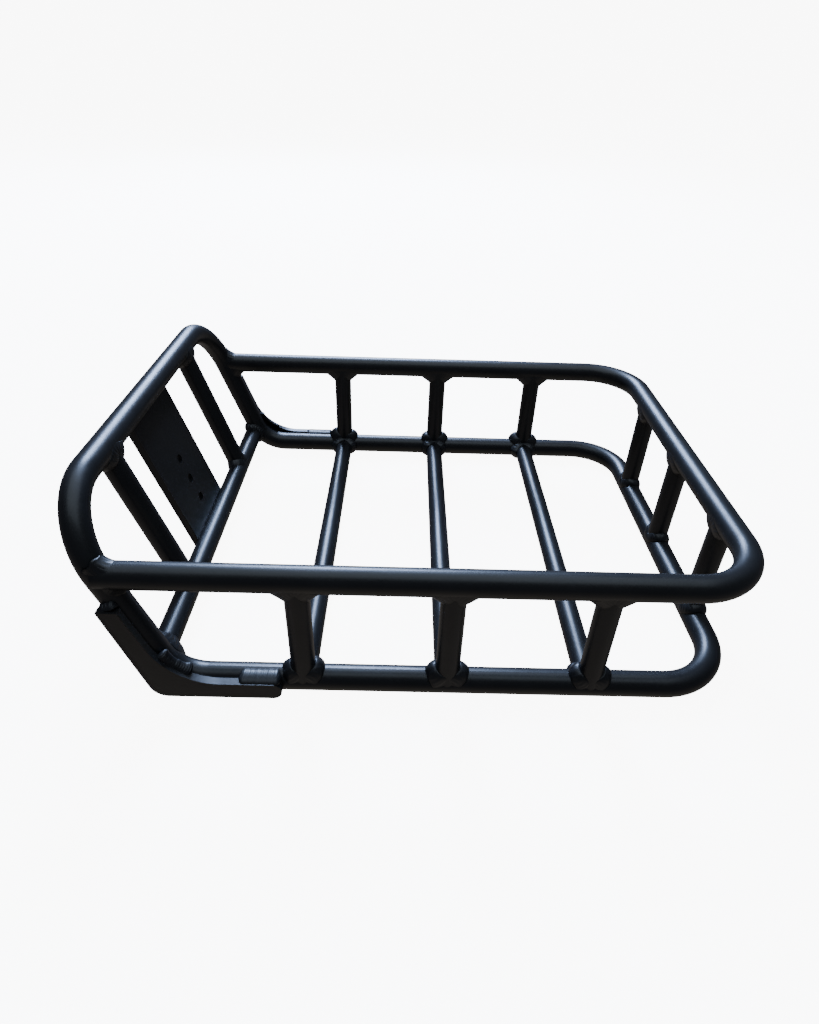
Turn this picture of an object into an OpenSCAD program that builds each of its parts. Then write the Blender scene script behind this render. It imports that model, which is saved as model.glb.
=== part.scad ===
// Welded tubular front cargo rack for a bicycle.
// The rack is drawn from the corner where the hoop's legs would meet the floor rails:
// X runs forward, Y to the rider's left, Z up from the floor rails' centre line.
// place() then moves everything so that the rack stands on z = 0, centred in X and Y.

/* [Tubes] */
// Outside diameter of the hoop, the floor rail and the top rail
rail_d = 16; // [15:0.5:18]
// Outside diameter of the posts and the floor cross tubes
tube_d = 14.5; // [12:0.5:14.5]
// Outside diameter of the rear cross tube
rear_tube_d = 15; // [14.8:0.1:15.8]
// Wall thickness of every tube
wall = 1.5; // [1:0.25:2.5]

/* [Basket] */
// Width of the floor rail and the hoop, between tube centres
floor_w = 289; // [260:1:340]
// Width of the top rail, between tube centres
top_w = 291; // [260:1:343]
// Length of the floor, from the hoop's foot corner to the front rail's centre
floor_len = 336; // [320:1:400]
// Height of the top rail above the floor rail, between centres
top_h = 78.5; // [70:0.5:90]
// Bend radius of the front corners
corner_r = 40; // [35:1:60]
// Place of the first cross tube and side post, from the foot corner
cross_start = 78; // [76:1:90]
// Spacing of the cross tubes and side posts
cross_pitch = 86; // [70:1:88]
// Spacing of the front posts
front_pitch = 79; // [50:1:88]

/* [Rear hoop] */
// Lean of the hoop towards the rear, in degrees
hoop_lean = 19.5; // [15:0.5:24]
// Height of the hoop's top bar, measured along its legs
hoop_h = 124; // [116:1:140]
// Bend radius of the hoop's top corners
hoop_r = 43; // [30:1:45]
// Distance from the foot corner to where each leg and floor rail becomes straight
foot_len = 21; // [18:1:24]

/* [Back frame] */
// Place of the rear cross tube, forward of the foot corner
rear_x = -7.8; // [-9:0.1:-5]
// Height of the rear cross tube above the floor rail's centre
rear_z = 11; // [10:0.5:13]
// Distance of each back post from the middle
back_post_y = 77; // [60:1:90]

/* [Mounting plate] */
// Width of the mounting plate
plate_w = 68; // [50:1:90]
// Thickness of the mounting plate
plate_t = 5; // [3:0.5:6]
// Distance of the plate's rear face behind the centre plane of the back posts
plate_set = 8.5; // [7:0.5:9]
// Diameter of the mounting holes
hole_d = 6.6; // [5:0.1:9]
// Number of mounting holes, one above another
hole_n = 3; // [1:1:4]
// Spacing of the mounting holes
hole_pitch = 17; // [14:0.5:20]
// Distance of the lowest hole from the rear cross tube's centre, along the plate
hole_start = 22.5; // [20:0.5:26]

/* [Corner plates] */
// Thickness of the corner plates
corner_t = 5; // [3:0.5:8]
// Level of the floor arm's lower edge
arm_low = -5; // [-7:0.5:-3]
// Level of the floor arm's upper edge
arm_high = 6.5; // [4:0.5:8]
// Length of the floor arm from the foot corner
arm_len = 66.5; // [55:0.5:68]
// Height of the leg arm's end
leg_arm_h = 61.5; // [50:0.5:64]
// Distance of the leg arm's inner edge inside the leg's centre line
arm_in = 5; // [4:0.5:6]
// Distance of its outer edge outside the leg's centre line, at the corner
arm_out_low = 9.5; // [8:0.5:10]
// Distance of its outer edge outside the leg's centre line, at the end
arm_out_high = 6; // [5:0.5:8]
// Radius of the inner arc
arm_arc = 40; // [30:1:42]
// Radius of the outer corner
arm_corner = 11; // [8:0.5:11]

/* [Welds] */
// Leg length of the weld beads
bead = 5.5; // [3:0.5:6]
// Length of the weld along the end of each floor arm
arm_weld_len = 24; // [15:1:26]

/* [Hidden] */
$fn = 64;

right = -1;
left = 1;
paint = [0.05, 0.05, 0.055];
weld_paint = [0.09, 0.09, 0.1];
rail_r = rail_d / 2;
tube_r = tube_d / 2;
rear_tube_r = rear_tube_d / 2;
over = 1; // how far a cutter runs past what it cuts
over_turn = 2; // the same for a cutter that follows a bend, in degrees
cross_x = [for (i = [0:2]) cross_start + i * cross_pitch];
post_y = (floor_w + top_w) / 4; // side posts stand midway between the two rails' centres

// The hoop's top bar and legs
bar_x = -hoop_h * sin(hoop_lean);
bar_z = hoop_h * cos(hoop_lean);
leg_x_at_top_rail = -top_h * tan(hoop_lean);
foot_turn = 90 - hoop_lean;
foot_r = foot_len / tan(foot_turn / 2);

// The back frame's plane, from the rear cross tube to the hoop's bar
back_lean = atan((rear_x - bar_x) / (bar_z - rear_z));
back_len = norm([bar_x - rear_x, bar_z - rear_z]);

// The whole rack's place
mid_x = (floor_len + rail_r + bar_x - rail_r) / 2;

module place() {
    translate([-mid_x, 0, rail_r]) children();
}

// Straight round bars along the axes, drawn from the end that meets a bend

module rod_x(x1, x0, y, z, r) {
    translate([x1, y, z]) rotate([0, -90, 0]) cylinder(h = x1 - x0, r = r);
}

module rod_y(y0, y1, x, z, r) {
    translate([x, y0, z]) rotate([-90, 0, 0]) cylinder(h = y1 - y0, r = r);
}

module rod_z(z1, z0, x, y, r) {
    translate([x, y, z1]) mirror([0, 0, 1]) cylinder(h = z1 - z0, r = r);
}

// A bend in the XY plane round the origin, from +X by turn degrees
module bend(bend_r, turn, r) {
    rotate_extrude(angle = turn) translate([bend_r, 0]) circle(r = r);
}

module both_sides() {
    children();
    mirror([0, 1, 0]) children();
}

module mirrored(side) {
    if (side == left) children();
    else mirror([0, 1, 0]) children();
}

// The plane that leans back with the hoop's legs, standing on the foot corner
module hoop_plane() {
    rotate([0, -hoop_lean, 0]) children();
}

// The plane that leans back with the back posts, standing on the rear cross tube
module back_plane() {
    translate([rear_x, 0, rear_z]) rotate([0, -back_lean, 0]) children();
}

// Bent tubes, drawn as solid runs of radius r; the bore is the same run with a smaller radius

// One leg of the hoop with its top corner, in the hoop's plane
module leg_run(r, extra = 0) {
    corner_y = floor_w / 2 - hoop_r;
    translate([0, corner_y, hoop_h - hoop_r]) rotate([90, 0, 90]) bend(hoop_r, 90, r);
    rod_z(hoop_h - hoop_r, foot_len - extra, 0, floor_w / 2, r);
}

module hoop_run(r, extra = 0) {
    corner_y = floor_w / 2 - hoop_r;
    hoop_plane() {
        rod_y(-corner_y, corner_y, 0, hoop_h, r);
        both_sides() leg_run(r, extra);
    }
}

// The bend at the foot of one leg
module foot_run(r, extra_turn = 0) {
    translate([foot_len, floor_w / 2, foot_r]) rotate([-90, 0, 0]) rotate([0, 0, 90])
        bend(foot_r, foot_turn + extra_turn, r);
}

// A U in a level plane, open to the rear
module u_run(r, x0, w, z) {
    corner_y = w / 2 - corner_r;
    rod_y(-corner_y, corner_y, floor_len, z, r);
    both_sides() {
        translate([floor_len - corner_r, corner_y, z]) bend(corner_r, 90, r);
        rod_x(floor_len - corner_r, x0, w / 2, z, r);
    }
}

module floor_run(r, extra_turn = 0) {
    u_run(r, foot_len, floor_w, 0);
    both_sides() foot_run(r, extra_turn);
}

module rear_hoop() {
    color(paint) place() difference() {
        hoop_run(rail_r);
        hoop_run(rail_r - wall, over);
    }
}

module floor_rail() {
    color(paint) place() difference() {
        floor_run(rail_r);
        floor_run(rail_r - wall, over_turn);
    }
}

module top_rail() {
    color(paint) place() difference() {
        u_run(rail_r, leg_x_at_top_rail, top_w, top_h);
        u_run(rail_r - wall, leg_x_at_top_rail - over, top_w, top_h);
        both_sides() hoop_plane() leg_run(rail_r);
    }
}

// Straight tubes, coped round what they meet

module side_rails() {
    both_sides() rod_x(floor_len - corner_r, foot_len, floor_w / 2, 0, rail_r);
}

module side_top_rails() {
    both_sides() rod_x(floor_len - corner_r, leg_x_at_top_rail, top_w / 2, top_h, rail_r);
}

module side_post_bar(side, i, r) {
    rod_z(top_h, 0, cross_x[i], side * post_y, r);
}

module cross_bar(i, r) {
    rod_y(-floor_w / 2, floor_w / 2, cross_x[i], 0, r);
}

module cross_tube(i) {
    color(paint) place() difference() {
        cross_bar(i, tube_r);
        cross_bar(i, tube_r - wall);
        side_rails();
        for (side = [left, right]) side_post_bar(side, i, tube_r);
    }
}

module side_post(side, i) {
    color(paint) place() difference() {
        side_post_bar(side, i, tube_r);
        side_post_bar(side, i, tube_r - wall);
        side_rails();
        side_top_rails();
    }
}

module front_bar(z) {
    straight = front_pitch + tube_r + bead;
    rod_y(-straight, straight, floor_len, z, rail_r);
}

module front_post(y) {
    color(paint) place() difference() {
        rod_z(top_h, 0, floor_len, y, tube_r);
        rod_z(top_h, 0, floor_len, y, tube_r - wall);
        front_bar(0);
        front_bar(top_h);
    }
}

module rear_bar(r) {
    rod_y(-floor_w / 2, floor_w / 2, rear_x, rear_z, r);
}

module hoop_bar() {
    rod_y(-back_post_y * 1.3, back_post_y * 1.3, bar_x, bar_z, rail_r);
}

module rear_cross_tube() {
    color(paint) place() difference() {
        rear_bar(rear_tube_r);
        rear_bar(rear_tube_r - wall);
        both_sides() {
            hoop_plane() leg_run(rail_r);
            foot_run(rail_r);
        }
    }
}

module back_post_bar(side, r) {
    back_plane() rod_z(back_len, 0, 0, side * back_post_y, r);
}

module back_post(side) {
    color(paint) place() difference() {
        back_post_bar(side, tube_r);
        back_post_bar(side, tube_r - wall);
        rear_bar(rear_tube_r);
        hoop_bar();
    }
}

// Plates

module plate_blank() {
    back_plane() translate([-plate_set, -plate_w / 2, 0]) cube([plate_t, plate_w, back_len]);
}

module mounting_plate() {
    color(paint) place() difference() {
        plate_blank();
        rear_bar(rear_tube_r);
        hoop_bar();
        for (i = [0:hole_n - 1]) back_plane()
            rod_x(plate_t - plate_set + over, -plate_set - over, 0,
                hole_start + i * hole_pitch, hole_d / 2);
    }
}

// Points of the corner plate's side view, as [x, z]
// A point beside the leg, from its height and its distance outside the leg's centre line
function beside_leg(z, out) = [-z * tan(hoop_lean) - out / cos(hoop_lean), z];
edge_low = beside_leg(arm_low, arm_out_low);
edge_high = beside_leg(leg_arm_h, arm_out_high);
edge_tilt = atan((edge_low[0] - edge_high[0]) / (edge_high[1] - edge_low[1]));
corner_cut = arm_corner * tan((90 - edge_tilt) / 2);
arc_centre_z = arm_high + arm_arc;
arc_centre_x = beside_leg(arc_centre_z, -arm_in - arm_arc)[0];
arm_w = arm_high - arm_low;
arm_end_x = arm_len - arm_w / 2;

module corner_outline() {
    difference() {
        union() {
            polygon([
                edge_low + corner_cut * [-sin(edge_tilt), cos(edge_tilt)],
                edge_low + [corner_cut, 0],
                [arm_end_x, arm_low],
                [arm_end_x, arm_high],
                [arc_centre_x, arm_high],
                beside_leg(arc_centre_z - arm_arc * sin(hoop_lean), -arm_in),
                beside_leg(leg_arm_h, -arm_in),
                edge_high
            ]);
            translate([arm_end_x, (arm_high + arm_low) / 2]) circle(r = arm_w / 2);
            translate(edge_low + [corner_cut, arm_corner]) circle(r = arm_corner);
        }
        translate([arc_centre_x, arc_centre_z]) circle(r = arm_arc, $fn = 128);
    }
}

module corner_blank() {
    translate([0, floor_w / 2 + rail_r + corner_t, 0])
        rotate([90, 0, 0]) linear_extrude(corner_t) corner_outline();
}

module corner_plate(side) {
    color(paint) place() mirrored(side) corner_blank();
}

// Weld beads

// A bead round a tube that rises along Z from a rail along X through the origin
// It flares along the rail and stands only a little proud at the sides
module saddle_bead(base_r, r) {
    skirt = 3;
    reach = r + bead + skirt;
    flank = r + 0.6;
    intersection() {
        translate([0, 0, base_r - skirt]) cylinder(h = bead + skirt, r1 = reach, r2 = r);
        rod_x(reach, -reach, 0, 0, base_r + bead);
        translate([-reach, -flank, 0]) cube([2 * reach, 2 * flank, base_r + bead]);
    }
}

module side_floor_beads() {
    for (x = cross_x) {
        translate([x, post_y, 0]) saddle_bead(rail_r, tube_r);
        translate([x, floor_w / 2, 0]) rotate([90, 0, 0]) saddle_bead(rail_r, tube_r);
    }
}

module side_floor_welds() {
    difference() {
        side_floor_beads();
        side_rails();
        for (i = [0:2]) {
            side_post_bar(left, i, tube_r);
            cross_bar(i, tube_r);
        }
    }
}

module side_top_welds() {
    difference() {
        union() {
            for (x = cross_x) translate([x, post_y, top_h]) rotate([180, 0, 0])
                saddle_bead(rail_r, tube_r);
            translate([leg_x_at_top_rail, top_w / 2, top_h]) rotate([0, -hoop_lean, 0])
                rotate([0, 90, 0]) saddle_bead(rail_r, rail_r);
        }
        side_top_rails();
        hoop_plane() leg_run(rail_r);
        for (i = [0:2]) side_post_bar(left, i, tube_r);
    }
}

module front_welds(z, flip) {
    difference() {
        for (i = [-1:1]) translate([floor_len, i * front_pitch, z])
            rotate([flip, 0, 90]) saddle_bead(rail_r, tube_r);
        front_bar(z);
        for (i = [-1:1]) rod_z(top_h, 0, floor_len, i * front_pitch, tube_r);
    }
}

// The beads at both ends of a back post, with the one where the rear cross tube meets the floor rail
module back_post_beads() {
    root = 2; // how far the cross tube's bead starts inside the floor rail
    back_plane() {
        translate([0, back_post_y, 0]) rotate([0, 0, 90]) saddle_bead(rear_tube_r, tube_r);
        translate([0, back_post_y, back_len]) rotate([180, 0, 90]) saddle_bead(rail_r, tube_r);
    }
    translate([rear_x, floor_w / 2 - rail_r + root, rear_z]) rotate([90, 0, 0])
        cylinder(h = bead + root, r1 = rear_tube_r + bead, r2 = rear_tube_r);
}

// Thin beads along the plate: in front of its upper edge, and under its lower end, short of its rear face
module plate_seams() {
    seam = plate_w / 2 - 1;
    thin = bead / 2;
    back_plane() {
        rod_y(-seam, seam, plate_t - plate_set, back_len - rail_r, thin);
        rod_y(-seam, seam, thin - plate_set + 0.2, -1, thin);
    }
}

module back_frame_welds() {
    difference() {
        union() {
            both_sides() back_post_beads();
            plate_seams();
        }
        rear_bar(rear_tube_r);
        hoop_bar();
        plate_blank();
        both_sides() {
            hoop_plane() leg_run(rail_r);
            foot_run(rail_r);
            back_post_bar(left, tube_r);
        }
    }
}

module corner_welds() {
    seam_y = floor_w / 2 + rail_r;
    difference() {
        union() {
            rod_x(arm_len - 2, arm_len - 2 - arm_weld_len, seam_y, arm_high, bead * 0.9);
            translate([arc_centre_x, seam_y, arc_centre_z]) rotate([90, 0, 0])
                rotate([0, 0, -90 - foot_turn + 24]) bend(arm_arc, 20, bead * 0.8);
            translate([beside_leg(leg_arm_h, 0)[0], seam_y, leg_arm_h])
                rod_x(arm_in - 1, 1 - arm_out_high, 0, 0, bead * 0.8);
        }
        rod_x(floor_len - corner_r, foot_len, floor_w / 2, 0, rail_r);
        foot_run(rail_r);
        hoop_plane() leg_run(rail_r);
        corner_blank();
    }
}

rear_hoop();
floor_rail();
top_rail();
rear_cross_tube();
cross_tube(0);  // cross_tube_rear
cross_tube(1);  // cross_tube_middle
cross_tube(2);  // cross_tube_front
side_post(right, 0);  // right_post_rear
side_post(right, 1);  // right_post_middle
side_post(right, 2);  // right_post_front
side_post(left, 0);  // left_post_rear
side_post(left, 1);  // left_post_middle
side_post(left, 2);  // left_post_front
front_post(right * front_pitch);  // front_post_right
front_post(0);  // front_post_centre
front_post(left * front_pitch);  // front_post_left
back_post(right);  // back_post_right
back_post(left);  // back_post_left
mounting_plate();
corner_plate(right);  // corner_plate_right
corner_plate(left);  // corner_plate_left
color(weld_paint) place() mirrored(right) side_floor_welds();  // welds_right_floor
color(weld_paint) place() mirrored(right) side_top_welds();  // welds_right_top
color(weld_paint) place() mirrored(left) side_floor_welds();  // welds_left_floor
color(weld_paint) place() mirrored(left) side_top_welds();  // welds_left_top
color(weld_paint) place() front_welds(0, 0);  // welds_front_floor
color(weld_paint) place() front_welds(top_h, 180);  // welds_front_top
color(weld_paint) place() back_frame_welds();  // welds_back_frame
color(weld_paint) place() mirrored(right) corner_welds();  // welds_corner_right
color(weld_paint) place() mirrored(left) corner_welds();  // welds_corner_left
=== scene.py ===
"""Looks of a welded tubular bicycle rack: satin black powder coat on bent tubes, with rippled weld beads.

The tubes and plates keep their CAD meshes and get a powder-coat material. Every group of plain CAD weld
beads is replaced by one mesh of rippled beads, whose toes follow the surfaces of the two tubes they join.
Lengths are in metres.
"""

import math
import random
from collections import namedtuple

import bmesh
import bpy
from mathutils import Matrix, Vector


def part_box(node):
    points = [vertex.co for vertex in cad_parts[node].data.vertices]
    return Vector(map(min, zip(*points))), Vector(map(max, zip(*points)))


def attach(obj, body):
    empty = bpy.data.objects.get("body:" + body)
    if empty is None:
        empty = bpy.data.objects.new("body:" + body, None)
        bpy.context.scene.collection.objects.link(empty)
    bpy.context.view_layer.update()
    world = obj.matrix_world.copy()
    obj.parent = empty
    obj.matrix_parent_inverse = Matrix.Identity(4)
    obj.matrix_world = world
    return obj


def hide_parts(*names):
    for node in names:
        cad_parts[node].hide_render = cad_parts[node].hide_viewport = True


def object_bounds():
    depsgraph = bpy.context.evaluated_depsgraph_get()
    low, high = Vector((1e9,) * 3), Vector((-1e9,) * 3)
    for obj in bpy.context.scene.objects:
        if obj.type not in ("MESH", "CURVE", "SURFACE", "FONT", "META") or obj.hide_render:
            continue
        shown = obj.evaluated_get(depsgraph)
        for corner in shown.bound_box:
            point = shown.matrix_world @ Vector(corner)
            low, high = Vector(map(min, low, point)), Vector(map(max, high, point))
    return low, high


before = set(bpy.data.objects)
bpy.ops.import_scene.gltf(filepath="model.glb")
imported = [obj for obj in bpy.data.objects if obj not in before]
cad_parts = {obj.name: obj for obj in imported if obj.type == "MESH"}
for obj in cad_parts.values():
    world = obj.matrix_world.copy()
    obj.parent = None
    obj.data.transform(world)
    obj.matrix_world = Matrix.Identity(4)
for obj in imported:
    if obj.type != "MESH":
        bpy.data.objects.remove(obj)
cad_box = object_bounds()

MM = 0.001
X, Y, Z = Vector((1, 0, 0)), Vector((0, 1, 0)), Vector((0, 0, 1))
SIDES = {"right": -1, "left": 1}

# Sizes of the frame that its boxes don't give
RAIL_R = 8 * MM
POST_R = 7.25 * MM
REAR_TUBE_R = 7.5 * MM
LEAN = math.radians(19.5)      # the hoop's lean to the rear
FOOT_LEN = 21 * MM             # from the foot corner to where the rail becomes straight
PLATE_FRONT = -3.5 * MM        # the mounting plate's front face, from the back posts' centre plane
PLATE_REAR = -8.5 * MM         # its rear face
PLATE_HALF = 33.5 * MM         # half the mounting plate's width, less its edge
ARM_TOP = 6.5 * MM             # the corner plate's upper edge, above the rail's centre
ARM_LEN = 66.5 * MM            # the corner plate's floor arm, from the foot corner
ARM_ARC = 40 * MM              # radius of its inner arc
ARM_IN = 5 * MM                # its inner edge, inside the leg's centre line
LEG_ARM_H = 61.5 * MM          # the end of its leg arm, above the rail's centre

# Weld beads
RIPPLE = 2.0 * MM              # spacing of the ripples along a bead
SINK = 0.15 * MM               # how far a bead's toes lie under the surfaces
ROOT = 1.5 * MM                # how deep its root lies
STEPS = 7                      # rings of points to one ripple
ACROSS = 10                    # spans across the visible face of a bead
RING_LAG = 0.9                 # how far a ripple's middle lags behind its ends, in ripples, round a tube
STRIP_LAG = 1.1                # the same on a bead along a line

# Beads round a tube, in mm: the legs up the branch and out on the base, the bulge (below zero it makes a
# hollow fillet) and the ripples' height. uneven is how much the size changes along the bead, and lump is how
# much it grows where the welder stopped. side is the part of the size left at the base's flanks, and hollow
# is how much lower the face is there.
Ring = namedtuple("Ring", "up out bulge ripples uneven lump side hollow", defaults=(0.28, 0.12, 0.25, 1, 0))
SIDE_POST_FOOT = Ring(5.8, 5.6, 1.4, ripples=0.2, uneven=0.16, side=0.85, hollow=1.9)
SIDE_POST_HEAD = Ring(5.8, 7.2, -0.2, ripples=0.12, uneven=0.2, lump=0.2, side=0.6)
CROSS_TUBE_END = Ring(5.2, 4.6, 1.1, uneven=0.16)
TOP_RAIL_END = Ring(6.2, 5.2, -0.9, ripples=0.2, uneven=0.3)
FRONT_POST_FOOT = Ring(4.1, 3.9, 0.8, uneven=0.2)
FRONT_POST_HEAD = Ring(5.4, 6.2, 0.5, ripples=0.2, uneven=0.2, side=0.7)
BACK_POST_FOOT = Ring(3.8, 3.4, 0.1, ripples=0.2, uneven=0.2)
BACK_POST_HEAD = Ring(5.0, 5.4, 0.4, uneven=0.2, side=0.8)
REAR_TUBE_END = {
    "right": Ring(8.4, 7.56, 0.84, ripples=0.4, uneven=0.16),
    "left": Ring(3.6, 3.24, 0.36, ripples=0.4, uneven=0.16),
}

# Beads laid along a line, in mm: the two toes, each along two directions from the crease, the bulge, the
# length of the rounded ends, and the ripples' height and pitch. slant sets the ripples askew, uneven is how
# much the size changes along the bead, and waist is how much slimmer and smoother its middle is.
Strip = namedtuple("Strip", "toes bulge taper ripples uneven slant waist pitch",
                   defaults=(3, 0.25, 0.12, 0, 0, RIPPLE / MM))
# Toes set forwards and up the plate
PLATE_TOP_SEAM = Strip(((0, -2.6), (2.6, 0.4)), 0.35)
PLATE_END_SEAM = Strip(((-0.5, 0.15), (0.9, -3.4)), 0.35)
# Toes set outwards and up, outwards and towards the arc's centre, and outwards and along the leg
FLOOR_ARM_BEAD = Strip(((4.9, 0.9), (-6.8, 2.75)), 2.1, ripples=0.1, uneven=0.035, slant=1.6, pitch=1.3)
ARC_BEAD = Strip(((3.2, 0.2), (-4.6, 4.8)), 1.2, taper=2.4, ripples=0.8, waist=0.7, pitch=1.6)
LEG_ARM_BEAD = Strip(((3.6, 0.3), (-1.6, 3.8)), 0.7)

# Where the beads on the plates lie
SEAM_IN = 1 * MM               # the lower seam's crease, in front of the plate's rear face
FLOOR_ARM_BEAD_LEN = 25 * MM
FLOOR_ARM_BEAD_END = 1 * MM    # from the end of the floor arm to the bead's end
FLOOR_ARM_BEAD_IN = 1.5 * MM   # the bead's crease, below the arm's upper edge
ARC_BEAD_ANGLES = (58, 26)     # the ends of the bead in the inner arc, in degrees rearwards of straight down
ARC_BEAD_SPANS = 8             # straight spans along it
ARC_BEAD_OUT = 0.6 * MM        # its crease, outside the arc
LEG_ARM_BEAD_SPAN = (-6.2 * MM, 4.6 * MM)   # the bead's ends, behind and in front of the leg's centre line


# ---------------------------------------------------------------- materials

def node(tree, kind, links=None, **values):
    """Adds a shader node. values set its sockets or its own settings, and links joins sources to sockets."""
    made = tree.nodes.new(kind)
    for name, value in values.items():
        title = name.replace("_", " ").title()
        if title in made.inputs:
            made.inputs[title].default_value = value
        else:
            setattr(made, name, value)
    for name, source in (links or {}).items():
        tree.links.new(source, made.inputs[name])
    return made


def ramp(tree, source, low, high, start=0.35, end=0.65):
    """A colour ramp between two colours or grey levels."""
    made = tree.nodes.new("ShaderNodeValToRGB")
    tree.links.new(source, made.inputs["Fac"])
    for stop, place, value in zip(made.color_ramp.elements, (start, end), (low, high)):
        stop.position = place
        stop.color = (*value, 1) if isinstance(value, tuple) else (value, value, value, 1)
    return made.outputs["Color"]


def noise(tree, where, scale, detail=3.0, roughness=0.5):
    made = node(tree, "ShaderNodeTexNoise", {"Vector": where}, scale=scale, detail=detail)
    made.inputs["Roughness"].default_value = roughness
    return made.outputs["Fac"]


def powder_coat(name, dark, light, rough, peel):
    """Satin powder coat: orange peel and fine grain in the surface, and slow changes of tone and gloss.
    rough is the lowest and highest roughness, and peel is the strength of the orange peel. The noises'
    scales are in cells to a metre."""
    mat = bpy.data.materials.new(name)
    mat.use_nodes = True
    tree = mat.node_tree
    shader = tree.nodes["Principled BSDF"]
    where = node(tree, "ShaderNodeTexCoord").outputs["Object"]
    tone = ramp(tree, noise(tree, where, 38, 4), dark, light)
    tree.links.new(tone, shader.inputs["Base Color"])
    gloss = ramp(tree, noise(tree, where, 90, 5, 0.6), rough[0], rough[1], 0.3, 0.7)
    tree.links.new(gloss, shader.inputs["Roughness"])
    shader.inputs["Specular IOR Level"].default_value = 0.5
    shader.inputs["Coat Weight"].default_value = 0.12
    shader.inputs["Coat Roughness"].default_value = 0.22
    grain = node(tree, "ShaderNodeBump", {"Height": noise(tree, where, 2600, 1)}, strength=0.10)
    grain.inputs["Distance"].default_value = 0.05 * MM
    skin = node(tree, "ShaderNodeBump", {"Height": noise(tree, where, 620, 2), "Normal": grain.outputs[0]})
    skin.inputs["Strength"].default_value = peel
    skin.inputs["Distance"].default_value = 0.12 * MM
    tree.links.new(skin.outputs[0], shader.inputs["Normal"])
    return mat


def plain(name, colour, rough):
    mat = bpy.data.materials.new(name)
    mat.use_nodes = True
    shader = mat.node_tree.nodes["Principled BSDF"]
    shader.inputs["Base Color"].default_value = (*colour, 1)
    shader.inputs["Roughness"].default_value = rough
    return mat


TUBE_COAT = powder_coat("tube_coat", dark=(0.0105, 0.0110, 0.0125), light=(0.0140, 0.0145, 0.0165),
                        rough=(0.35, 0.42), peel=0.30)
PLATE_COAT = powder_coat("plate_coat", dark=(0.0090, 0.0092, 0.0098), light=(0.0120, 0.0122, 0.0130),
                         rough=(0.38, 0.47), peel=0.42)
WELD_COAT = powder_coat("weld_coat", dark=(0.0115, 0.0122, 0.0140), light=(0.0180, 0.0190, 0.0220),
                        rough=(0.36, 0.46), peel=0.30)

for name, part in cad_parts.items():
    coat = PLATE_COAT if "plate" in name else TUBE_COAT
    for slot in part.material_slots:
        slot.material = coat


# ---------------------------------------------------------------- the tubes' centre lines

Tube = namedtuple("Tube", "origin axis radius")


def ends(name):
    """The low and high corners of a CAD piece's box."""
    low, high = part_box(name)
    return Vector(low), Vector(high)


def upright(name, height):
    """A vertical post's centre line, starting at a height."""
    low, high = ends(name)
    return Tube(Vector(((low.x + high.x) / 2, (low.y + high.y) / 2, height)), Z, POST_R)


floor_low, floor_high = ends("floor_rail")
top_low, top_high = ends("top_rail")
hoop_low, hoop_high = ends("rear_hoop")
rear_low, rear_high = ends("rear_cross_tube")

floor_z = floor_low.z + RAIL_R
top_z = top_high.z - RAIL_R
front_x = floor_high.x - RAIL_R
floor_y = floor_high.y - RAIL_R
top_y = top_high.y - RAIL_R
hoop_y = hoop_high.y - RAIL_R
bar = Vector((hoop_low.x + RAIL_R, 0, hoop_high.z - RAIL_R))
corner = Vector((bar.x + (bar.z - floor_z) * math.tan(LEAN), 0, floor_z))
leg_axis = Vector((-math.sin(LEAN), 0, math.cos(LEAN)))
rear = Vector(((rear_low.x + rear_high.x) / 2, 0, (rear_low.z + rear_high.z) / 2))
back_axis = (bar - rear).normalized()
back_front = Vector((back_axis.z, 0, -back_axis.x))
back_len = (bar - rear).length

# The foot bend, which leads from the floor rail up to the hoop's leg
foot_turn = math.pi / 2 - LEAN
foot_r = FOOT_LEN / math.tan(foot_turn / 2)
foot_centre = corner + Vector((FOOT_LEN, 0, foot_r))


def side_rail(z, y):
    return Tube(Vector((0, y, z)), X, RAIL_R)


def front_rail(z):
    return Tube(Vector((front_x, 0, z)), Y, RAIL_R)


# ---------------------------------------------------------------- bead meshes

class Waves:
    """A smooth random curve with period 1, from about -1 to 1."""

    def __init__(self, rng, lobes):
        self.parts = [(n, rng.uniform(0, math.tau), rng.uniform(0.4, 1) / len(lobes)) for n in lobes]

    def __call__(self, t):
        return sum(size * math.sin(math.tau * n * t + phase) for n, phase, size in self.parts)


def onto(point, tube, depth):
    """The point moved to a tube's surface, or to a depth below it."""
    axis_point = tube.origin + tube.axis * (point - tube.origin).dot(tube.axis)
    return axis_point + (point - axis_point).normalized() * (tube.radius - depth)


def crease_point(branch, base, angle):
    """Where a branch's wall meets the base tube at one angle round the branch, and its normal there."""
    first = branch.axis.orthogonal().normalized()
    second = branch.axis.cross(first)
    normal = first * math.cos(angle) + second * math.sin(angle)
    start = branch.origin + normal * branch.radius
    offset = start - base.origin
    offset -= base.axis * offset.dot(base.axis)
    climb = branch.axis - base.axis * branch.axis.dot(base.axis)
    middle = offset.dot(climb) / climb.length_squared
    gap = middle ** 2 - (offset.length_squared - base.radius ** 2) / climb.length_squared
    return start + branch.axis * (math.sqrt(max(gap, 0)) - middle), normal


def ripple(turns, t, size, lag, slant=0):
    """Height of the overlapping ripples, after a number of them along the bead and at a place t across it.
    lag bends each ripple into a crescent, and slant sets it askew."""
    phase = turns - lag * (1 - (2 * t - 1) ** 2) - slant * t
    part = phase - math.floor(phase)
    return size * (4 * part * (1 - part)) * math.sin(math.pi * t) ** 1.2


def section(crease, toe_a, toe_b, outward, bulge, turns, ripples, lag, slant=0):
    """One ring of a bead: over its bulged face from one toe to the other, and back through its root."""
    chord = toe_b - toe_a
    face = (outward - chord.normalized() * outward.dot(chord.normalized())).normalized()
    ring = []
    for i in range(ACROSS + 1):
        t = i / ACROSS
        height = bulge * (4 * t * (1 - t)) ** 0.75 + ripple(turns, t, ripples, lag, slant)
        ring.append(toe_a + chord * t + face * (height if 0 < i < ACROSS else 0))
    ring.append(crease - face * ROOT)
    return ring


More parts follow.
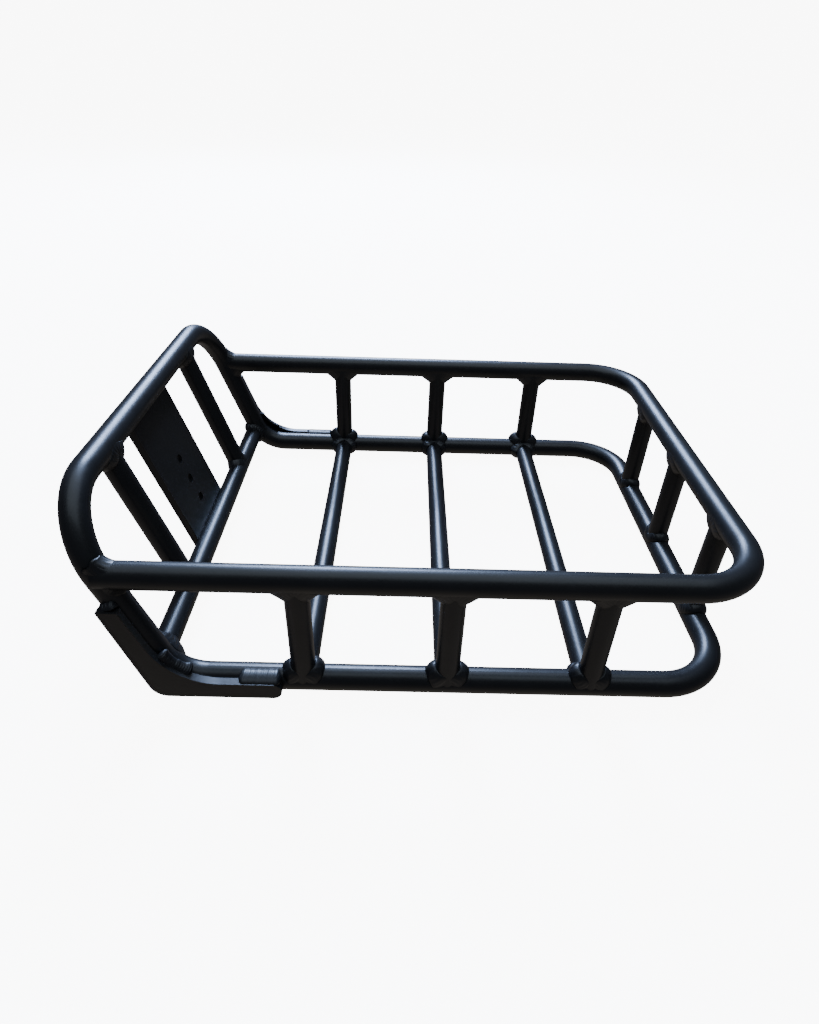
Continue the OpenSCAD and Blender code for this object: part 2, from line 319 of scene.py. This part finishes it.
def round_bead(branch, base, bead, rng):
    """A closed bead round a branch tube on a base tube."""
    sides = 72
    shape = [crease_point(branch, base, math.tau * i / sides)[0] for i in range(sides)]
    length = sum((shape[i] - shape[i - 1]).length for i in range(sides))
    count = max(8, round(length / RIPPLE)) * STEPS
    waves, tall = Waves(rng, (2, 3, 5, 7)), Waves(rng, (2, 4, 7, 11))
    flank = base.axis.cross(branch.axis).normalized()
    stop = rng.random()
    rings, distance, last = [], 0, None
    pitch = round(length / RIPPLE) * RIPPLE / length
    for i in range(count):
        turn = i / count
        angle = math.tau * turn
        crease, normal = crease_point(branch, base, angle)
        ahead = crease_point(branch, base, angle + 0.02)[0]
        tangent = (ahead - crease_point(branch, base, angle - 0.02)[0]).normalized()
        if last is not None:
            distance += (crease - last).length * pitch
        last = crease
        base_axis_point = base.origin + base.axis * (crease - base.origin).dot(base.axis)
        base_normal = (crease - base_axis_point).normalized()
        climb = tangent.cross(normal).normalized()
        climb *= 1 if climb.dot(branch.axis) > 0 else -1
        spread = tangent.cross(base_normal).normalized()
        spread *= 1 if spread.dot(normal - branch.axis) > 0 else -1
        near_stop = math.exp(-((turn - stop + 0.5) % 1 - 0.5) ** 2 / 0.002)
        swell = 1 + bead.uneven * waves(turn) + bead.lump * near_stop
        on_flank = normal.dot(flank) ** 2
        narrow = 1 - (1 - bead.side) * on_flank
        height = bead.up * MM * narrow * swell
        width = bead.out * MM * narrow * (1 + bead.uneven * tall(turn) + bead.lump * near_stop)
        toe_a = onto(crease + climb * height, branch, SINK)
        toe_b = onto(crease + spread * width, base, SINK)
        rise = bead.bulge * MM * swell * narrow - bead.hollow * MM * on_flank
        ripples = bead.ripples * MM * (1 + 0.4 * tall(turn))
        rings.append(section(crease, toe_a, toe_b, normal + base_normal, rise,
                             distance / RIPPLE, ripples, RING_LAG))
    return rings, True


def run_bead(points, directions, bead, rng):
    """An open bead along points. directions(point) gives the two directions that its toes are set along."""
    pitch = bead.pitch * MM
    length = sum((b - a).length for a, b in zip(points, points[1:]))
    count = max(4, round(length / pitch)) * STEPS
    waves = Waves(rng, (1, 3, 4, 7))
    rings = []
    for i in range(count + 1):
        turn = i / count
        distance = turn * length
        place = turn * (len(points) - 1)
        k = min(int(place), len(points) - 2)
        crease = points[k].lerp(points[k + 1], place - k)
        left = min(distance, length - distance)
        size = math.sqrt(1 - (1 - min(left / (bead.taper * MM), 1)) ** 2) * 0.94 + 0.06
        slim = 1 - bead.waist * (1 - (2 * turn - 1) ** 2)
        size *= (1 + bead.uneven * waves(turn)) * (0.5 + 0.5 * slim)
        first, second = directions(crease)
        a, b = [(first * u + second * v) * MM for u, v in bead.toes]
        rise, height = bead.bulge * MM * size, bead.ripples * MM * size * slim
        rings.append(section(crease, crease + a * size, crease + b * size, a.normalized() + b.normalized(),
                             rise, distance / pitch, height, STRIP_LAG, bead.slant))
    return rings, False


def build(name, node_name, beads):
    """One object of closed beads, which replaces a group of CAD beads."""
    low, high = Vector(cad_box[0]), Vector(cad_box[1])
    points, faces = [], []
    for rings, closed in beads:
        first, width = len(points), len(rings[0])
        for ring in rings:
            points += [[min(max(p[k], low[k]), high[k]) for k in range(3)] for p in ring]
        spans = len(rings) if closed else len(rings) - 1
        for i in range(spans):
            here, there = first + i * width, first + (i + 1) % len(rings) * width
            faces += [(here + j, here + (j + 1) % width, there + (j + 1) % width, there + j)
                      for j in range(width)]
        if not closed:
            end = first + (len(rings) - 1) * width
            faces += [tuple(reversed(range(first, first + width))), tuple(range(end, end + width))]
    mesh = bpy.data.meshes.new(name)
    mesh.from_pydata(points, [], faces)
    mesh.validate()
    piece = bpy.data.objects.new(name, mesh)
    bpy.context.scene.collection.objects.link(piece)
    make_outward(mesh)
    for polygon in mesh.polygons:
        polygon.use_smooth = True
    mesh.materials.append(WELD_COAT)
    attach(piece, "root")
    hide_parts(node_name)
    return piece


def make_outward(mesh):
    """Turns every face's normal outwards."""
    work = bmesh.new()
    work.from_mesh(mesh)
    bmesh.ops.recalc_face_normals(work, faces=work.faces)
    work.to_mesh(mesh)
    work.free()


# ---------------------------------------------------------------- beads of the basket

POST_PLACES = ("rear", "middle", "front")


def down(tube, height):
    """A post seen from above: it starts at a height and runs down."""
    return Tube(Vector((tube.origin.x, tube.origin.y, height)), -Z, tube.radius)


def side_floor_beads(side, rng):
    """Beads at the feet of a side's posts and at that side's ends of the cross tubes."""
    sign = SIDES[side]
    rail = side_rail(floor_z, sign * floor_y)
    beads = []
    for place in POST_PLACES:
        post = upright(f"{side}_post_{place}", floor_z)
        beads.append(round_bead(post, rail, SIDE_POST_FOOT, rng))
        cross = Tube(Vector((post.origin.x, sign * floor_y, floor_z)), -sign * Y, POST_R)
        beads.append(round_bead(cross, rail, CROSS_TUBE_END, rng))
    return beads


def side_top_beads(side, rng):
    """Beads at the heads of a side's posts and where the top rail meets the hoop's leg."""
    sign = SIDES[side]
    rail = side_rail(top_z, sign * top_y)
    beads = []
    for place in POST_PLACES:
        post = down(upright(f"{side}_post_{place}", 0), top_z)
        beads.append(round_bead(post, rail, SIDE_POST_HEAD, rng))
    leg_start = Vector((corner.x, sign * hoop_y, floor_z))
    leg = Tube(leg_start, leg_axis, RAIL_R)
    meeting = leg_start + leg_axis * ((top_z - floor_z) / leg_axis.z)
    rail_end = Tube(Vector((meeting.x, sign * top_y, top_z)), X, RAIL_R)
    beads.append(round_bead(rail_end, leg, TOP_RAIL_END, rng))
    return beads


def front_beads(floor, rng):
    """Beads at the feet or the heads of the front posts."""
    height = floor_z if floor else top_z
    beads = []
    for place in (*SIDES, "centre"):
        post = upright(f"front_post_{place}", height)
        if floor:
            beads.append(round_bead(post, front_rail(height), FRONT_POST_FOOT, rng))
        else:
            beads.append(round_bead(down(post, height), front_rail(height), FRONT_POST_HEAD, rng))
    return beads


# ---------------------------------------------------------------- beads of the back frame

def back_beads(rng):
    """Beads at both ends of the back posts, at the rear cross tube's ends and along the plate."""
    rear_tube = Tube(rear, Y, REAR_TUBE_R)
    hoop_bar = Tube(bar, Y, RAIL_R)
    beads = []
    for side in SIDES:
        low, high = ends(f"back_post_{side}")
        y = (low.y + high.y) / 2
        foot = Tube(Vector((rear.x, y, rear.z)), back_axis, POST_R)
        head = Tube(Vector((bar.x, y, bar.z)), -back_axis, POST_R)
        beads.append(round_bead(foot, rear_tube, BACK_POST_FOOT, rng))
        beads.append(round_bead(head, hoop_bar, BACK_POST_HEAD, rng))
        beads.append(rear_tube_bead(side, rng))
    beads += plate_seams(rng)
    return beads


def rear_tube_bead(side, rng):
    """The bead at one end of the rear cross tube, on the inside of the foot bend."""
    spoke = rear - foot_centre
    on_bend = foot_centre + spoke.normalized() * foot_r
    outside = SIDES[side] * Y
    bend = Tube(on_bend + outside * floor_y, Vector((spoke.z, 0, -spoke.x)).normalized(), RAIL_R)
    tube = Tube(rear + outside * floor_y, -outside, REAR_TUBE_R)
    return round_bead(tube, bend, REAR_TUBE_END[side], rng)


def plate_seams(rng):
    """Thin beads across the plate: in front of its upper edge, and under its lower end."""
    def seam(along, normal, bead):
        start = rear + back_axis * along + back_front * normal
        points = [start + Y * y for y in (-PLATE_HALF, 0, PLATE_HALF)]
        return run_bead(points, lambda _point: (back_front, back_axis), bead, rng)

    high = seam(back_len - RAIL_R, PLATE_FRONT, PLATE_TOP_SEAM)
    low = seam(0, PLATE_REAR + SEAM_IN, PLATE_END_SEAM)
    return [high, low]


# ---------------------------------------------------------------- beads of the corner plates

def floor_arm_bead(face, outside, rng):
    """A wide bead laid over the upper edge of the floor arm's end and the rail's top."""
    end = Vector((corner.x + ARM_LEN - FLOOR_ARM_BEAD_END, face, floor_z + ARM_TOP - FLOOR_ARM_BEAD_IN))
    points = [end - X * (FLOOR_ARM_BEAD_LEN * t) for t in (1, 0.5, 0)]
    return run_bead(points, lambda _point: (outside, Z), FLOOR_ARM_BEAD, rng)


def arc_bead(face, outside, rng):
    """A bead in the inner arc, between the plate's edge and the foot bend."""
    arc_z = floor_z + ARM_TOP + ARM_ARC
    arc_x = corner.x - (arc_z - floor_z) * math.tan(LEAN) + (ARM_IN + ARM_ARC) / math.cos(LEAN)
    centre = Vector((arc_x, face, arc_z))
    first, last = ARC_BEAD_ANGLES
    points = []
    for i in range(ARC_BEAD_SPANS + 1):
        angle = math.radians(first + (last - first) * i / ARC_BEAD_SPANS)
        points.append(centre - Vector((math.sin(angle), 0, math.cos(angle))) * (ARM_ARC + ARC_BEAD_OUT))
    return run_bead(points, lambda point: (outside, (centre - point).normalized()), ARC_BEAD, rng)


def leg_arm_bead(face, outside, rng):
    """A short bead across the leg arm's end."""
    tip = Vector((corner.x, face, floor_z)) + leg_axis * (LEG_ARM_H / leg_axis.z)
    across = Vector((leg_axis.z, 0, -leg_axis.x))
    low, high = LEG_ARM_BEAD_SPAN
    points = [tip + across * low, tip, tip + across * high]
    return run_bead(points, lambda _point: (outside, leg_axis), LEG_ARM_BEAD, rng)


def corner_beads(side, rng):
    """Beads that hold a corner plate: on its floor arm's end, in its inner arc and on its leg arm's end."""
    outside = SIDES[side] * Y
    face = SIDES[side] * (floor_y + RAIL_R)
    return [make(face, outside, rng) for make in (floor_arm_bead, arc_bead, leg_arm_bead)]


GROUPS = {
    "welds_right_floor": lambda rng: side_floor_beads("right", rng),
    "welds_left_floor": lambda rng: side_floor_beads("left", rng),
    "welds_right_top": lambda rng: side_top_beads("right", rng),
    "welds_left_top": lambda rng: side_top_beads("left", rng),
    "welds_front_floor": lambda rng: front_beads(True, rng),
    "welds_front_top": lambda rng: front_beads(False, rng),
    "welds_back_frame": back_beads,
    "welds_corner_right": lambda rng: corner_beads("right", rng),
    "welds_corner_left": lambda rng: corner_beads("left", rng),
}
for number, (group, make) in enumerate(GROUPS.items()):
    build(group.replace("welds", "beads"), group, make(random.Random(100 + number)))


# ---------------------------------------------------------------- floor, light and camera

def area_light(name, place, target, width, height, power, colour):
    data = bpy.data.lights.new(name, "AREA")
    data.shape = "RECTANGLE"
    data.size, data.size_y = width, height
    data.energy = power
    data.color = colour
    lamp = bpy.data.objects.new(name, data)
    lamp.matrix_world = Matrix.Translation(place) @ (
        (Vector(target) - Vector(place)).to_track_quat("-Z", "Y").to_matrix().to_4x4())
    lamp.visible_camera = False
    bpy.context.scene.collection.objects.link(lamp)


middle = Vector((0, 0, (cad_box[0][2] + cad_box[1][2]) / 2))


def from_middle(bearing, height, distance):
    """A place seen from the rack's middle: its bearing is from +Y towards +X, and its height is an angle."""
    b, h = math.radians(bearing), math.radians(height)
    return middle + Vector((math.sin(b) * math.cos(h), math.cos(b) * math.cos(h), math.sin(h))) * distance


# A window beyond the rack draws the long highlights, and a wide light above lifts the upper faces
area_light("window_light", from_middle(-9, 37, 2.4), middle, 0.8, 0.95, 110, (0.49, 0.65, 1.0))
area_light("top_light", from_middle(0, 92, 1.7), middle, 2.2, 2.0, 17, (0.74, 0.86, 1.0))


def backdrop_bowl(flat, rise, top, rings=24, sides=96):
    """A round floor that is flat to one radius and then sweeps up to a wall."""
    low = cad_box[0][2] - 0.1 * MM
    profile = [(0.5 * flat, low), (flat, low)]
    for i in range(1, rings + 1):
        turn = math.pi / 2 * i / rings
        profile.append((flat + rise * math.sin(turn), low + rise * (1 - math.cos(turn))))
    profile.append((flat + rise, top))
    points = [(0, 0, low)]
    for radius, height in profile:
        points += [(radius * math.cos(math.tau * k / sides), radius * math.sin(math.tau * k / sides), height)
                   for k in range(sides)]
    faces = [(0, 1 + k, 1 + (k + 1) % sides) for k in range(sides)]
    for i in range(len(profile) - 1):
        here, there = 1 + i * sides, 1 + (i + 1) * sides
        faces += [(here + k, there + k, there + (k + 1) % sides, here + (k + 1) % sides)
                  for k in range(sides)]
    mesh = bpy.data.meshes.new("floor")
    mesh.from_pydata(points, [], faces)
    for polygon in mesh.polygons:
        polygon.use_smooth = True
    return mesh


paper = plain("floor_paper", (0.86, 0.86, 0.86), 0.9)
paper_shader = paper.node_tree.nodes["Principled BSDF"]
paper_shader.inputs["Specular IOR Level"].default_value = 0.1
paper_shader.inputs["Emission Color"].default_value = (1, 1, 1, 1)
paper_shader.inputs["Emission Strength"].default_value = 9.0
floor = bpy.data.objects.new("floor", backdrop_bowl(flat=2.6, rise=1.5, top=5))
floor.data.materials.append(paper)
bpy.context.scene.collection.objects.link(floor)
# Only the camera sees the glowing floor, so it neither lights nor shades the rack
floor.visible_glossy = False
floor.visible_diffuse = False
floor.visible_shadow = False

world = bpy.data.worlds.new("studio")
world.use_nodes = True
sky = world.node_tree
direction = node(sky, "ShaderNodeTexCoord").outputs["Generated"]
height = node(sky, "ShaderNodeSeparateXYZ", {"Vector": direction}).outputs["Z"]
rise = node(sky, "ShaderNodeMapRange", {"Value": height}, from_min=-1, from_max=1).outputs[0]
sky.links.new(ramp(sky, rise, (0.30, 0.27, 0.245), (0.062, 0.066, 0.080), 0.05, 0.45),
              sky.nodes["Background"].inputs["Color"])
bpy.context.scene.world = world

# The camera stands in front of the right-hand side rails and looks down on the rack
CAMERA_AT = Vector((-0.0137, -0.4071, 0.3176))
PITCH, YAW, ROLL = math.radians(35.28), math.radians(0.96), math.radians(2.01)
LENS, SENSOR = 22.78, 36       # both in mm
data = bpy.data.cameras.new("camera")
data.lens = LENS
data.sensor_width = SENSOR
data.clip_start = 0.01
camera = bpy.data.objects.new("camera", data)
bpy.context.scene.collection.objects.link(camera)
ahead = Vector((math.sin(YAW) * math.cos(PITCH), math.cos(YAW) * math.cos(PITCH), -math.sin(PITCH)))
level = Vector((math.cos(YAW), -math.sin(YAW), 0))
upward = level.cross(ahead)
aside = level * math.cos(ROLL) + upward * math.sin(ROLL)
above = upward * math.cos(ROLL) - level * math.sin(ROLL)
camera.matrix_world = Matrix.Translation(CAMERA_AT) @ Matrix((aside, above, -ahead)).transposed().to_4x4()
bpy.context.scene.camera = camera
